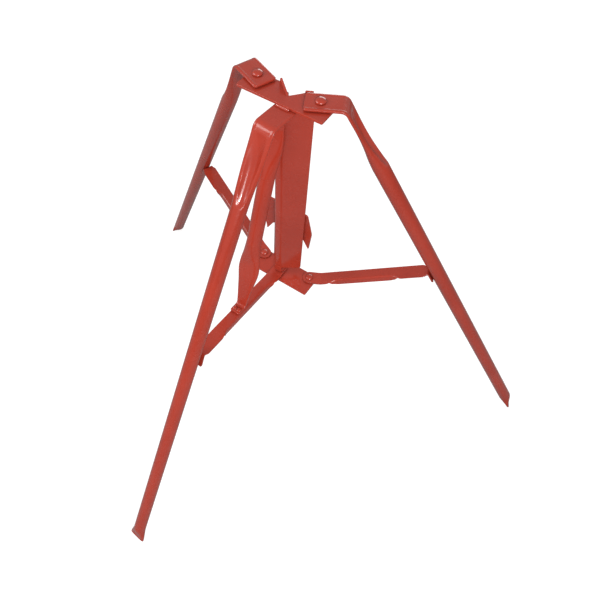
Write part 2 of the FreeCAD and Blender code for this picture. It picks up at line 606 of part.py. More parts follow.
# ------------------------------------------------------------------------------------------
# export
# ------------------------------------------------------------------------------------------
def build():
    nodes = {}
    nodes["top_bracket"] = top_bracket()
    nodes["lower_bracket"] = lower_bracket()
    post, rivets = column_assembly()
    nodes["back_plate"] = back_plate()
    nodes["back_plate_rivets"] = Part.makeCompound(rivets)
    for name, side, azimuth, joint_drop in (("right", 1, RIGHT_AZIMUTH, RIGHT_JOINT_DROP),
                                            ("left", -1, LEFT_AZIMUTH, LEFT_JOINT_DROP)):
        leg, brace, rivets = swing_gate(side * PIVOT_X, azimuth, joint_drop)
        nodes[name + "_leg"] = leg
        nodes[name + "_brace"] = brace
        nodes[name + "_brace_rivets"] = Part.makeCompound(rivets)
        head = V(side * PIVOT_X, PIVOT_Y, 2 * FACE_GAP + FLAT_THICK)
        tail = V(side * PIVOT_X, PIVOT_Y, -PLATE)
        nodes[name + "_top_pivot_rivet"] = pivot_rivet(PIVOT_SHANK_R, PIVOT_HEAD_R, PIVOT_TAIL_R, head, tail)
        head = V(side * PIVOT_X, PIVOT_Y, -HUB_DROP + 2 * FACE_GAP + BRACE_SHEET)
        tail = V(side * PIVOT_X, PIVOT_Y, -HUB_DROP - PLATE)
        nodes[name + "_hub_pivot_rivet"] = pivot_rivet(HUB_SHANK_R, HUB_HEAD_R, HUB_HEAD_R, head, tail)
    leg, brace, rivets = front_gate()
    tube_strut, feet, up, top_rivet = strut()
    foot_rivets = []
    for spot in feet:
        brace = drill(brace, RIVET_SHANK_R + TIGHT_GAP, spot, up, 40)
        head = spot + up * (FLAT_THICK / 2)
        tail = spot - up * (FLAT_THICK / 2 + 2 * SEAT_GAP + BRACE_SHEET + FOOT_TAIL_GAP)
        foot_rivets.append(rivet(RIVET_SHANK_R, RIVET_HEAD_R, RIVET_TAIL_R, head, tail))
    post = drill(post, RIVET_SHANK_R + TIGHT_GAP, top_rivet, SIDE, 20)
    head = top_rivet - SIDE * (FLAT_THICK / 2)
    tail = V(top_rivet.x, COLUMN_FRONT_Y + SHEET, top_rivet.z)
    nodes["strut_top_rivet"] = rivet(RIVET_SHANK_R, RIVET_HEAD_R, RIVET_TAIL_R, head, tail)
    nodes["column"] = post
    nodes["center_strut"] = tube_strut
    nodes["strut_foot_rivets"] = Part.makeCompound(foot_rivets)
    nodes["front_weld_bead"] = weld_bead()
    nodes["front_leg"] = leg
    nodes["front_brace"] = brace
    nodes["front_brace_rivets"] = Part.makeCompound(rivets)
    head = V(*FRONT_RIVET, -HUB_DROP + BRACE_SHEET + SHEET)
    tail = V(*FRONT_RIVET, -HUB_DROP - PLATE)
    nodes["front_hub_rivet"] = rivet(HUB_SHANK_R, HUB_HEAD_R, HUB_HEAD_R, head, tail)
    return nodes


os.makedirs("parts", exist_ok=True)
made = build()
box = Part.makeCompound(list(made.values())).optimalBoundingBox(False, False)
origin = V(box.Center.x, box.Center.y, box.ZMin)
print("top bracket's face at", [round(value, 3) for value in origin * -1])
for node, shape in made.items():
    shape.translate(origin * -1)
    shape.exportStep("parts/" + node + ".step")
    print(node, len(shape.Solids), "solids", round(shape.Volume), "mm3", "valid" if shape.isValid() else "BAD")
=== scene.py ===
"""A folding tripod stand for a pipe vise, pressed and riveted from steel and coated in red gloss paint."""
import math

import bmesh
import bpy
from mathutils import Matrix, Vector


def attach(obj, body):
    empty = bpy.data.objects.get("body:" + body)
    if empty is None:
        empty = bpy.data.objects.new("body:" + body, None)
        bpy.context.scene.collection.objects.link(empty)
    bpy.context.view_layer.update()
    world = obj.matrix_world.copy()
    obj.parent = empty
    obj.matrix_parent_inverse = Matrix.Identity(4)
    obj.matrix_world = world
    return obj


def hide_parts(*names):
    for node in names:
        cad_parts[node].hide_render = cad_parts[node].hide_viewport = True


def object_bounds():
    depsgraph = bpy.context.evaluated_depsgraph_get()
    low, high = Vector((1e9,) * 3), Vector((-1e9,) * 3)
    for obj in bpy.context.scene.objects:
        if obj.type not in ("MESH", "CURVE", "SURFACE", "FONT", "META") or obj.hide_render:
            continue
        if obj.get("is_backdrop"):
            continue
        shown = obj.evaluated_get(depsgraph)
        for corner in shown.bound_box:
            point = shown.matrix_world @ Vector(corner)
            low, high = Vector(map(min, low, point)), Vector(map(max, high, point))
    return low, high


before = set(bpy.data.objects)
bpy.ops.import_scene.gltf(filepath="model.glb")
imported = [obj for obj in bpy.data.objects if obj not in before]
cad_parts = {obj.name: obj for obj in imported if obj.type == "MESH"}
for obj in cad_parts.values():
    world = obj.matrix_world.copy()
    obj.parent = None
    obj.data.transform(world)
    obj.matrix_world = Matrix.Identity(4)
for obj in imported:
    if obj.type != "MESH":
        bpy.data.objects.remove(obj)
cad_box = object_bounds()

# Camera.  It looks down on the stand from the front right, close enough for the legs to splay, and is
# rolled a little to the left.
camera_place = Vector((0.40265, -0.44045, 1.3876))
camera_azimuth = math.radians(-52.3)
camera_elevation = math.radians(57.75)
camera_roll = math.radians(-2.48)
back = Vector((math.cos(camera_elevation) * math.cos(camera_azimuth),
               math.cos(camera_elevation) * math.sin(camera_azimuth),
               math.sin(camera_elevation)))
level_right = Vector((-math.sin(camera_azimuth), math.cos(camera_azimuth), 0.0))
level_up = back.cross(level_right)
right = level_right * math.cos(camera_roll) + level_up * math.sin(camera_roll)
up = level_up * math.cos(camera_roll) - level_right * math.sin(camera_roll)
camera_data = bpy.data.cameras.new("camera")
camera_data.lens = 36.79
camera_data.sensor_width = 36.0
camera_data.shift_x = 0.0575
camera_data.shift_y = 0.0133
camera = bpy.data.objects.new("camera", camera_data)
camera.matrix_world = Matrix.Translation(camera_place) @ Matrix((right, up, back)).transposed().to_4x4()
bpy.context.scene.collection.objects.link(camera)
bpy.context.scene.camera = camera
bpy.context.scene.view_settings.view_transform = "Standard"

# Floor.  A plain matt sheet that takes only the stand's soft shadow.  Its own tone is a middle grey, which
# the gloss paint mirrors, and the camera sees it lifted to white.
floor_z = cad_box[0][2]
floor_reach = 8.0
floor_grey = 0.3
floor_lift = 0.85
floor_corners = [(x * floor_reach, y * floor_reach, floor_z) for x, y in ((-1, -1), (1, -1), (1, 1), (-1, 1))]
floor_mesh = bpy.data.meshes.new("floor")
floor_mesh.from_pydata(floor_corners, [], [(0, 1, 2, 3)])
floor = bpy.data.objects.new("floor", floor_mesh)
bpy.context.scene.collection.objects.link(floor)
floor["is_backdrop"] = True
floor_paint = bpy.data.materials.new("white_floor")
floor_paint.use_nodes = True
tree = floor_paint.node_tree
matt = tree.nodes["Principled BSDF"]
matt.inputs["Base Color"].default_value = (floor_grey, floor_grey, floor_grey, 1)
matt.inputs["Roughness"].default_value = 0.95
matt.inputs["Specular IOR Level"].default_value = 0.0
lift = tree.nodes.new("ShaderNodeEmission")
lift.inputs["Color"].default_value = (1, 1, 1, 1)
path = tree.nodes.new("ShaderNodeLightPath")
share = tree.nodes.new("ShaderNodeMath")
share.operation = "MULTIPLY"
share.inputs[1].default_value = floor_lift
both = tree.nodes.new("ShaderNodeAddShader")
tree.links.new(path.outputs["Is Camera Ray"], share.inputs[0])
tree.links.new(share.outputs[0], lift.inputs["Strength"])
tree.links.new(matt.outputs["BSDF"], both.inputs[0])
tree.links.new(lift.outputs["Emission"], both.inputs[1])
tree.links.new(both.outputs["Shader"], tree.nodes["Material Output"].inputs["Surface"])
floor_mesh.materials.append(floor_paint)

# Light.  Large soft lamps on the left, on the right and behind, and a small one near the camera for the
# highlights.  The room round them is a middle grey, which the camera sees as white.
lamp_aim = Vector((0, 0.1, 0.4))
world = bpy.data.worlds.new("pale_room")
bpy.context.scene.world = world
world.use_nodes = True
room = world.node_tree
room_light = room.nodes["Background"]
room_light.inputs["Color"].default_value = (1, 1, 1, 1)
room_light.inputs["Strength"].default_value = 0.42
seen = room.nodes.new("ShaderNodeBackground")
seen.inputs["Color"].default_value = (1, 1, 1, 1)
seen.inputs["Strength"].default_value = 1.0
path = room.nodes.new("ShaderNodeLightPath")
mix = room.nodes.new("ShaderNodeMixShader")
room.links.new(path.outputs["Is Camera Ray"], mix.inputs["Fac"])
room.links.new(room_light.outputs["Background"], mix.inputs[1])
room.links.new(seen.outputs["Background"], mix.inputs[2])
room.links.new(mix.outputs["Shader"], room.nodes["World Output"].inputs["Surface"])


def soft_lamp(name, place, size, power):
    """Square lamp of a size in metres and a power in watts, turned to the middle of the stand."""
    data = bpy.data.lights.new(name, "AREA")
    data.size = size
    data.energy = power
    lamp = bpy.data.objects.new(name, data)
    lamp.location = place
    lamp.rotation_mode = "QUATERNION"
    lamp.rotation_quaternion = (lamp_aim - Vector(place)).to_track_quat("-Z", "Y")
    bpy.context.scene.collection.objects.link(lamp)


soft_lamp("key_lamp", (-1.9, -1.2, 2.2), 1.5, 36)
soft_lamp("front_lamp", (1.7, -1.4, 1.7), 0.9, 24)
soft_lamp("near_lamp", (1.0, -1.15, 1.75), 0.3, 15)
soft_lamp("rear_lamp", (-0.7, 2.4, 1.0), 1.5, 20)

# Top bracket.  A 4 mm steel plate with the right and the left leg's tab over it and the front leg's tab
# under it.  A V is cut in its rear edge, with a pointed lug turned up along the cut, and a low stop lip
# stands beside the right leg's tab.
bracket_place = (8.492, 136.727, 833.0)
plate_thick = 4.0
plate_corner = 2.5
plate_ease = 0.7
top_outline = [(-69, -24), (74, -24), (74, 16), (22.3, 16), (19, 11), (6.5, -3), (-16, 11), (-19.3, 16),
               (-69, 16)]
lug_start = Vector((-16.0, 11.0, 0.0))
lug_run = Vector((22.5, -14.0, 0.0))
lug_tip_share = 0.12
lug_tip_width = 1.6
lug_height = 13.0
lug_set_in = 0.02
lip_thick = 3.0
lip_height = 8.5
lip_ends = (-23.0, -11.0)
lip_beside = 18.8
lip_corner = 1.8
deep_red = (0.37, 0.032, 0.015, 1)
warm_red = (0.42, 0.04, 0.02, 1)
speck_red = (0.47, 0.05, 0.028, 1)
# lighter edge red: a painted highlight along the edges, and thin coat
thin_coat_and_highlight_red = (0.56, 0.085, 0.045, 1)
bare_steel = (0.17, 0.13, 0.12, 1)
# darker corner red: painted shade in the corners, and dust
dust_and_shade_red = (0.17, 0.017, 0.011, 1)
pivots = {"right": Vector((52.5, 5.5, 0.0)), "left": Vector((-52.5, 5.5, 0.0))}
azimuths = {"right": math.radians(27.4), "left": math.radians(157.6)}


def at(point):
    """Place in metres of a point drawn in millimetres from the top bracket's upper face."""
    return Vector([(along + shift) / 1000 for along, shift in zip(point, bracket_place)])


def gloss_red(name):
    """Sprayed red enamel: slow drift of tone, orange peel, thin coat and a painted highlight on edges, dust
    and painted shade in the corners.
    """
    material = bpy.data.materials.new(name)
    material.use_nodes = True
    nodes = material.node_tree.nodes
    links = material.node_tree.links
    enamel = nodes["Principled BSDF"]
    enamel.inputs["IOR"].default_value = 1.5
    enamel.inputs["Specular IOR Level"].default_value = 0.42
    enamel.inputs["Coat Weight"].default_value = 0.4
    enamel.inputs["Coat Roughness"].default_value = 0.05
    coordinates = nodes.new("ShaderNodeTexCoord")

    def noise(scale, detail, rough=0.5):
        made = nodes.new("ShaderNodeTexNoise")
        made.inputs["Scale"].default_value = scale
        made.inputs["Detail"].default_value = detail
        made.inputs["Roughness"].default_value = rough
        links.new(coordinates.outputs["Object"], made.inputs["Vector"])
        return made.outputs["Fac"]

    def spread(value, low, high, to_low, to_high):
        made = nodes.new("ShaderNodeMapRange")
        for place, number in enumerate((low, high, to_low, to_high), start=1):
            made.inputs[place].default_value = number
        links.new(value, made.inputs[0])
        return made.outputs[0]

    def combined(operation, first, second):
        made = nodes.new("ShaderNodeMath")
        made.operation = operation
        for place, value in enumerate((first, second)):
            if isinstance(value, float):
                made.inputs[place].default_value = value
            else:
                links.new(value, made.inputs[place])
        return made.outputs[0]

    def tint(factor, first, second):
        made = nodes.new("ShaderNodeMix")
        made.data_type = "RGBA"
        links.new(factor, made.inputs["Factor"])
        for place, value in ((6, first), (7, second)):
            if isinstance(value, tuple):
                made.inputs[place].default_value = value
            else:
                links.new(value, made.inputs[place])
        return made.outputs[2]

    # tone
    drift = spread(noise(11.0, 3.0), 0.35, 0.65, 0.0, 1.0)
    tone = tint(drift, deep_red, warm_red)
    speckle = spread(noise(380.0, 2.0), 0.35, 0.7, 0.0, 0.22)
    tone = tint(speckle, tone, speck_red)
    # the edges are painted lighter: a painted highlight along them, and the coat thin where it pulled back
    # from an edge
    rounded = nodes.new("ShaderNodeBevel")
    rounded.samples = 4
    rounded.inputs["Radius"].default_value = 0.0011
    facing = nodes.new("ShaderNodeNewGeometry")
    same = nodes.new("ShaderNodeVectorMath")
    same.operation = "DOT_PRODUCT"
    links.new(rounded.outputs["Normal"], same.inputs[0])
    links.new(facing.outputs["Normal"], same.inputs[1])
    edge = spread(same.outputs["Value"], 0.99, 0.8, 0.0, 1.0)
    thin_coat_and_highlight = combined("MULTIPLY", edge, spread(noise(70.0, 4.0, 0.6), 0.4, 0.62, 0.25, 0.85))
    tone = tint(thin_coat_and_highlight, tone, thin_coat_and_highlight_red)
    chip = combined("MULTIPLY", edge, spread(noise(150.0, 3.0, 0.7), 0.70, 0.74, 0.0, 0.8))
    tone = tint(chip, tone, bare_steel)
    # dust and painted shade darken the corners
    corner = nodes.new("ShaderNodeAmbientOcclusion")
    corner.samples = 4
    corner.inputs["Distance"].default_value = 0.012
    shade = spread(corner.outputs["AO"], 0.95, 0.35, 0.0, 0.55)
    dust_and_shade = combined("MULTIPLY", shade, spread(noise(40.0, 4.0), 0.3, 0.7, 0.5, 1.0))
    tone = tint(dust_and_shade, tone, dust_and_shade_red)
    links.new(tone, enamel.inputs["Base Color"])
    # gloss
    gloss = spread(noise(60.0, 4.0), 0.3, 0.7, 0.17, 0.27)
    gloss = combined("ADD", gloss, spread(noise(7.0, 2.0), 0.4, 0.7, 0.0, 0.07))
    gloss = combined("ADD", gloss, combined("MULTIPLY", dust_and_shade, 0.35))
    links.new(combined("ADD", gloss, combined("MULTIPLY", chip, 0.3)), enamel.inputs["Roughness"])
    # orange peel over slight waves in the steel
    waves = nodes.new("ShaderNodeBump")
    waves.inputs["Strength"].default_value = 0.35
    waves.inputs["Distance"].default_value = 0.0006
    links.new(noise(48.0, 2.0), waves.inputs["Height"])
    peel = nodes.new("ShaderNodeBump")
    peel.inputs["Strength"].default_value = 0.3
    peel.inputs["Distance"].default_value = 0.00006
    links.new(noise(620.0, 2.0), peel.inputs["Height"])
    links.new(waves.outputs["Normal"], peel.inputs["Normal"])
    links.new(peel.outputs["Normal"], enamel.inputs["Normal"])
    return material


paint = gloss_red("red_gloss_paint")


def rounded_line(points, radius, steps, closed=False):
    """The same line with its corners turned into arcs, which take less than half of a side."""
    most = 0.45
    out = []
    count = len(points)
    for i, here in enumerate(points):
        here = Vector(here)
        if not closed and i in (0, count - 1):
            out.append(here)
            continue
        before, after = Vector(points[i - 1]), Vector(points[(i + 1) % count])
        reach = min(radius, (before - here).length * most, (after - here).length * most)
        start = here + (before - here).normalized() * reach
        end = here + (after - here).normalized() * reach
        for k in range(steps + 1):
            t = k / steps
            out.append(start * (1 - t) ** 2 + here * (2 * t * (1 - t)) + end * t ** 2)
    return out


def slab(bm, outline, thick):
    """Plate with a flat outline, thick along a direction."""
    low = [bm.verts.new(at(p)) for p in outline]
    high = [bm.verts.new(at(Vector(p) + thick)) for p in outline]
    bm.faces.new(low[::-1])
    bm.faces.new(high)
    for i in range(len(low)):
        j = (i + 1) % len(low)
        bm.faces.new((low[i], low[j], high[j], high[i]))


def finish_piece(name, bm, body, replaced, ease=0.0):
    """Painted piece, with its edges eased if asked for, riding on a body in the place of its CAD nodes."""
    crease = math.radians(38)
    bmesh.ops.recalc_face_normals(bm, faces=bm.faces)
    mesh = bpy.data.meshes.new(name)
    bm.to_mesh(mesh)
    bm.free()
    mesh.shade_smooth()
    mesh.set_sharp_from_angle(angle=crease)
    mesh.materials.append(paint)
    piece = bpy.data.objects.new(name, mesh)
    bpy.context.scene.collection.objects.link(piece)
    if ease:
        bevel = piece.modifiers.new("eased_edges", "BEVEL")
        bevel.width = ease / 1000
        bevel.segments = 3
        bevel.limit_method = "ANGLE"
        bevel.angle_limit = crease
        bevel.harden_normals = True
    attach(piece, body)
    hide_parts(*replaced)


bm = bmesh.new()
flat = rounded_line(top_outline, plate_corner, 4, closed=True)
slab(bm, [(p.x, p.y, -plate_thick) for p in flat], Vector((0, 0, plate_thick)))
along = lug_run.normalized()
inward = Vector((lug_run.y, -lug_run.x, 0)).normalized()
low = Vector((0, 0, -plate_thick))
tip = lug_start + lug_run * lug_tip_share + Vector((0, 0, lug_height))
lug = [lug_start + low, lug_start + lug_run + low, lug_start + lug_run, tip + along * lug_tip_width, tip,
       lug_start]
lug = rounded_line(lug, lug_tip_width, 4, closed=True)
slab(bm, [p + inward * lug_set_in for p in lug], inward * lip_thick)
tab = Vector((math.cos(azimuths["right"]), math.sin(azimuths["right"]), 0))
side = Vector((-tab.y, tab.x, 0))
first, last = [pivots["right"] + tab * end + side * lip_beside + low for end in lip_ends]
lip_side = [first, last, last + Vector((0, 0, lip_height)), first + Vector((0, 0, lip_height))]
slab(bm, rounded_line(lip_side, lip_corner, 4, closed=True), side * lip_thick)
finish_piece("top_bracket_pressing", bm, "frame", ["top_bracket"], plate_ease)

# Lower bracket.  A plain steel plate under the column's foot, cut to length from the same 4 mm strip.  The
# front brace is riveted fast on it, and the other two turn on their rivets.
hub_drop = 407.0
lower_outline = [(-66, -30.5), (66, -30.5), (66, 16), (-66, 16)]
bm = bmesh.new()
flat = rounded_line(lower_outline, plate_corner, 5, closed=True)
slab(bm, [(p.x, p.y, -hub_drop - plate_thick) for p in flat], Vector((0, 0, plate_thick)))
finish_piece("lower_bracket_plate", bm, "frame", ["lower_bracket"], plate_ease)

# Column.  One 3 mm sheet folded to a tapering channel with its rear edges turned in; the narrow front
# wall runs on as a tongue that is turned back over the front brace's pad.
sheet = 3.0
column_front = 7.0
column_front_y = -17.5
column_side_y = 7.0
column_return = 18
corner_in = 2.4
fold_r = 3.6
# height, left and right rear corners, middle of the front wall: at the upper and at the lower end
column_ends = ((-4.0, -18.0, 47.6, 0.0), (-388.0, -31.0, 34.2, -4.5))
# share of the height, and how much thinner the sheet is there, where its cut ends are eased
column_stations = ((0.0, 0.9), (0.0015, 0.25), (0.004, 0.0), (0.25, 0.0), (0.5, 0.0), (0.75, 0.0),
                   (0.996, 0.0), (0.9985, 0.25), (1.0, 0.9))
tongue_line = [(-16.0, -387.0), (-16.0, -403.0), (4.6, -403.0)]
tongue_fold = 3.4
tongue_middle = -4.5
tongue_thick = 2.9


def sheet_outline(line, thick):
    """Closed outline of a sheet along a middle line of flat points, with its two edges eased."""
    ease = 0.45
    directions = []
    for i in range(len(line)):
        run = line[min(i + 1, len(line) - 1)] - line[max(i - 1, 0)]
        directions.append(run.normalized())
    normals = [Vector((-d.y, d.x)) for d in directions]
    half = thick / 2
    upper = [p + n * half for p, n in zip(line, normals)]
    lower = [p - n * half for p, n in zip(line, normals)]
    upper[0] += directions[0] * ease
    lower[0] += directions[0] * ease
    upper[-1] -= directions[-1] * ease
    lower[-1] -= directions[-1] * ease
    first = [line[0] - normals[0] * (half - ease), line[0] + normals[0] * (half - ease)]
    last = [line[-1] + normals[-1] * (half - ease), line[-1] - normals[-1] * (half - ease)]
    return first + upper + last + lower[::-1]


def skin(bm, rings):
    """Closed skin over rings of points drawn in millimetres."""
    rows = [[bm.verts.new(at(p)) for p in ring] for ring in rings]
    for low, high in zip(rows, rows[1:]):
        for i in range(len(low)):
            j = (i + 1) % len(low)
            bm.faces.new((low[i], low[j], high[j], high[i]))
    bm.faces.new(rows[0][::-1])
    bm.faces.new(rows[-1])


def plan_of_column(left, right, middle, inset):
    """Outline of the folded sheet in plan."""
    y = column_side_y - sheet / 2
    front_y = column_front_y + sheet / 2
    corner = sheet / 2 * 0.75
    line = [(left + column_return, y), (left + corner_in, y), (middle - column_front + corner, front_y),
            (middle + column_front - corner, front_y), (right - corner_in, y), (right - column_return, y)]
    points = rounded_line(line, fold_r, 6)
    return [Vector(p) for p in sheet_outline(points, sheet - inset)]


bm = bmesh.new()
rings = []
for share, inset in column_stations:
    z, left, rear_right, middle = [a + (b - a) * share for a, b in zip(*column_ends)]
    rings.append([(p.x, p.y, z) for p in plan_of_column(left, rear_right, middle, inset)])
skin(bm, rings)
tongue_path = rounded_line(tongue_line, tongue_fold, 8)
rings = []
for i, p in enumerate(tongue_path):
    run = (tongue_path[min(i + 1, len(tongue_path) - 1)] - tongue_path[max(i - 1, 0)]).normalized()
    outward = Vector((0, -run.y, run.x)) * -1
    line = [Vector((x, 0)) for x in (-6.9, -3.5, 0, 3.5, 6.9)]
    rings.append([Vector((tongue_middle + q.x, p.x, p.y)) + outward * q.y
                  for q in sheet_outline(line, tongue_thick)])
skin(bm, rings)
finish_piece("column_folding", bm, "frame", ["column"])

# Back plate.  A 3 mm steel stiffener with its lower edge arched, riveted with four rivets across the
# column's rear flanges.
back_gap = 0.05
half_plate = [(40.0, -239.0), (50.0, -282.5), (45.0, -326.0), (30.0, -300.0)]
bm = bmesh.new()
flat = rounded_line(half_plate + [(-x, z) for x, z in half_plate[::-1]], 4.0, 5, closed=True)
slab(bm, [(p.x, column_side_y + back_gap, p.y) for p in flat], Vector((0, sheet - back_gap, 0)))
finish_piece("back_plate_pressing", bm, "frame", ["back_plate"], 0.6)

# Legs.  One inch steel tube.  Each upper end is pressed flat to a tab and bent, and a trough runs from the
# bend out into the round tube; each foot is squeezed to a chisel edge that stands on the floor.
slope = math.radians(28.9)
leg_down = Vector((math.sin(slope), 0, -math.cos(slope)))
leg_out = Vector((math.cos(slope), 0, math.sin(slope)))
tube_r = 12.7
flat_half = 18.0
flat_thick = 5.2
crush_length = 122.0
foot_length = 34.0
floor_drop = 833.0
slide_gap = 0.3
front_tab_top = -4.15
tab_heights = {"right": slide_gap + flat_thick / 2, "left": slide_gap + flat_thick / 2,
               "front": front_tab_top - flat_thick / 2}
# from the pivot out to the bend, and in to the tab's end
leg_plans = {"right": (35.5, 22.0), "left": (35.5, 22.0), "front": (66.0, -19.5)}
origins = {"right": pivots["right"], "left": pivots["left"], "front": Vector((16.2, 0, 0))}
azimuths["front"] = math.radians(265.0)
trough_turns = {"front": math.radians(24.0), "right": 0.0, "left": 0.0}
leg_bodies = {"front": "frame", "right": "right_gate", "left": "left_gate"}


def signed_power(value, power):
    """A power of the value that keeps its sign."""
    return math.copysign(abs(value) ** power, value)


def tube_outline(half, thick, dish=0.0, power=1.0):
    """Outline of a pressed tube as (sideways, outward) pairs: a power of 1 is round, less is squarer."""
    sides = 60
    points = []
    for i in range(sides):
        angle = 2 * math.pi * i / sides
        across = signed_power(round(math.cos(angle), 9), power)
        rise = signed_power(round(math.sin(angle), 9), power)
        # a dish has a broad floor, and its walls turn up close to the rims
        bowl = 0.55 * across ** 2 + 0.45 * across ** 4
        points.append((half * across, dish * (bowl - 0.5) + thick / 2 * rise))
    return points


def curve_through(table, x, entry):
    """Smooth value at x of one entry in a table of stations."""
    for i in range(len(table) - 1):
        if x <= table[i + 1][0]:
            break
    here, there = table[i][entry], table[i + 1][entry]
    span = table[i + 1][0] - table[i][0]
    t = min(1.0, max(0.0, (x - table[i][0]) / span))
    before = after = (there - here) / span
    if i > 0:
        before = (there - table[i - 1][entry]) / (table[i + 1][0] - table[i - 1][0])
    if i < len(table) - 2:
        after = (table[i + 2][entry] - here) / (table[i + 2][0] - table[i][0])
    return (here * (1 - 3 * t * t + 2 * t ** 3) + there * (3 * t * t - 2 * t ** 3)
            + span * (before * (t - 2 * t * t + t ** 3) + after * (t ** 3 - t * t)))


def eased(share):
    """0 to 1 with a soft start and a soft end."""
    share = min(1.0, max(0.0, share))
    return share * share * (3 - 2 * share)


def flat_outline(half, thick):
    """Outline of the tube pressed flat: its folded edges stay a little thicker than its middle."""
    thinned = 0.76
    points = []
    for u, v in tube_outline(half, thick, power=0.5):
        at_edge = eased((abs(u) / half - 0.70) / 0.14)
        points.append((u, v * (thinned + (1 - thinned) * at_edge)))
    return points


# share of the crushed length, height of the round back of the tube, floor of the trough, rise of the
# floor to its sides, depth of the tube's inner side
crush = ((0.0, 2.6, 2.9, 0.0, 2.6), (0.1, 3.2, 0.4, 5.0, 3.4), (0.25, 3.8, -2.0, 11.5, 4.6),
         (0.45, 4.4, -2.4, 14.0, 6.2), (0.62, 6.2, -0.2, 13.0, 8.4), (0.78, 8.8, 3.2, 12.0, 10.9),
         (0.9, 10.9, 7.4, 8.0, 12.1), (0.97, 12.3, 10.9, 4.0, 12.6), (1.0, 12.7, 13.6, 0.0, 12.7))


def crushed_outline(share):
    """Outline of the crushed length: share 0 at the bend, 1 where the tube is round again."""
    crown, floor_height, dish, depth = [curve_through(crush, share, i) for i in (1, 2, 3, 4)]
    half = flat_half + (tube_r - flat_half) * (0.6 * share + 0.4 * eased(share))
    points = []
    for u, v in tube_outline(half, 2.0, power=0.5 + 0.5 * min(1.0, share * 4)):
        if v <= 0:
            points.append((u, v * depth))
            continue
        # the die's face meets the round back along a rim
        round_back = v * crown
        pressed = floor_height + dish * (u / half) ** 2
        soft = 0.25
        lower = min(round_back, pressed)
        points.append((u, lower - soft * math.log(1 + math.exp(-abs(round_back - pressed) / soft))))
    return points


def leg_rings(reach, inner, drop, twist):
    """Rings of a leg in its own plane: X outwards from the pivot, the tab's middle at z = 0.

    twist: how far round the tube the end of the trough has turned.
    """
    bend_steps, crush_steps, tube_steps, foot_steps = 12, 50, 12, 17
    across = Vector((0, 1, 0))
    bend_r = 12.0
    turn = math.pi / 2 - slope
    setback = bend_r * math.tan(turn / 2)
    corner = Vector((reach, 0, 0))
    rings = []

    def ring(place, outward, outline):
        rings.append([place + across * u + outward * v for u, v in outline])

    def turned_outline(outline, spin):
        return [(u * math.cos(spin) + v * math.sin(spin), v * math.cos(spin) - u * math.sin(spin))
                for u, v in outline]

    upwards = Vector((0, 0, 1))
    # the tab's end and corners are eased: way in from the end, and how much narrower and thinner it is
    for far, narrower, thinner in ((0.0, 3.2, 2.2), (0.35, 2.4, 0.9), (1.0, 1.3, 0.2), (2.0, 0.5, 0.0),
                                   (3.5, 0.0, 0.0), (8.0, 0.0, 0.0)):
        ring(Vector((far - inner, 0, 0)), upwards, flat_outline(flat_half - narrower, flat_thick - thinner))
    start = Vector((reach - setback, 0, 0))
    ring(start, upwards, flat_outline(flat_half, flat_thick))
    centre = start - Vector((0, 0, bend_r))
    for k in range(1, bend_steps + 1):
        angle = turn * k / bend_steps
        outward = Vector((math.sin(angle), 0, math.cos(angle)))
        ring(centre + outward * bend_r, outward, flat_outline(flat_half, flat_thick))
    for k in range(1, crush_steps + 1):
        share = k / crush_steps
        place = corner + leg_down * (setback + (crush_length - setback) * share)
        ring(place, leg_out, turned_outline(crushed_outline(share), twist * eased(share * 1.2)))
    length = drop / math.cos(slope)
    round_tube = tube_outline(tube_r, 2 * tube_r)
    for k in range(1, tube_steps + 1):
        far = crush_length + (length - foot_length - crush_length) * k / tube_steps
        left_twist = twist * (1 - eased(k / (tube_steps - 1)))
        ring(corner + leg_down * far, leg_out, turned_outline(round_tube, left_twist))
    for k in range(1, foot_steps):
        ease = eased(k / foot_steps)
        half = tube_r + (flat_half - tube_r) * ease
        thick = 2 * tube_r + (flat_thick - 2 * tube_r) * ease
        place = corner + leg_down * (length - foot_length + foot_length * k / foot_steps)
        ring(place, leg_out, tube_outline(half, thick, power=1.0 - 0.5 * ease))
    # the chisel edge is cut level with the floor
    for ring_points in rings:
        for i, p in enumerate(ring_points):
            if p.z < -drop:
                ring_points[i] = p + leg_down * ((p.z + drop) / math.cos(slope))
    place = corner + leg_down * length
    for shrink in (0.0, 0.5):
        last = []
        for u, v in tube_outline(flat_half - shrink, flat_thick - 2 * shrink, power=0.5):
            p = place + across * u + leg_out * v
            over = 0.0 if shrink else 0.4
            last.append(p + leg_down * ((p.z + drop - over) / math.cos(slope)))
        rings.append(last)
    return rings


def turned(rings, origin, azimuth):
    """Rings turned from their own plane to an azimuth and put at an origin."""
    turn = Matrix.Rotation(azimuth, 3, "Z")
    return [[turn @ Vector(p) + origin for p in ring] for ring in rings]


for name, body in leg_bodies.items():
    reach, inner = leg_plans[name]
    tab_z = tab_heights[name]
    rings = leg_rings(reach, inner, floor_drop + tab_z, trough_turns[name])
    bm = bmesh.new()
    skin(bm, turned(rings, origins[name] + Vector((0, 0, tab_z)), azimuths[name]))
    finish_piece(name + "_leg_tube", bm, body, [name + "_leg"])

# Weld.  A short hand-laid bead with ripples, in the corner between the bracket's front edge and the
# front leg's tab, painted over with the rest.
weld_from = -1.0
weld_to = 22.0
weld_r = 3.5
weld_taper = 1.6
weld_steps = 92
ripple_pitch = 2.3
bracket_front = -24.0
bm = bmesh.new()
rings = []
for k in range(weld_steps + 1):
    x = weld_from + (weld_to - weld_from) * k / weld_steps
    ripple = abs(math.sin(math.pi * x / ripple_pitch))
    ends = min(1.0, (x - weld_from) / weld_taper + 0.35, (weld_to - x) / weld_taper + 0.35)
    size = weld_r * ends * (0.84 + 0.16 * ripple)
    ring = [(x, bracket_front + 0.1, front_tab_top - 0.25)]
    for j in range(11):
        a = math.pi / 2 * j / 10
        bulge = 0.8 * math.sin(2 * a) * ends
        ring.append((min(weld_to, x + bulge), bracket_front - size * math.cos(a),
                     front_tab_top + size * math.sin(a)))
    rings.append(ring)
skin(bm, rings)
finish_piece("front_weld_run", bm, "frame", ["front_weld_bead"])

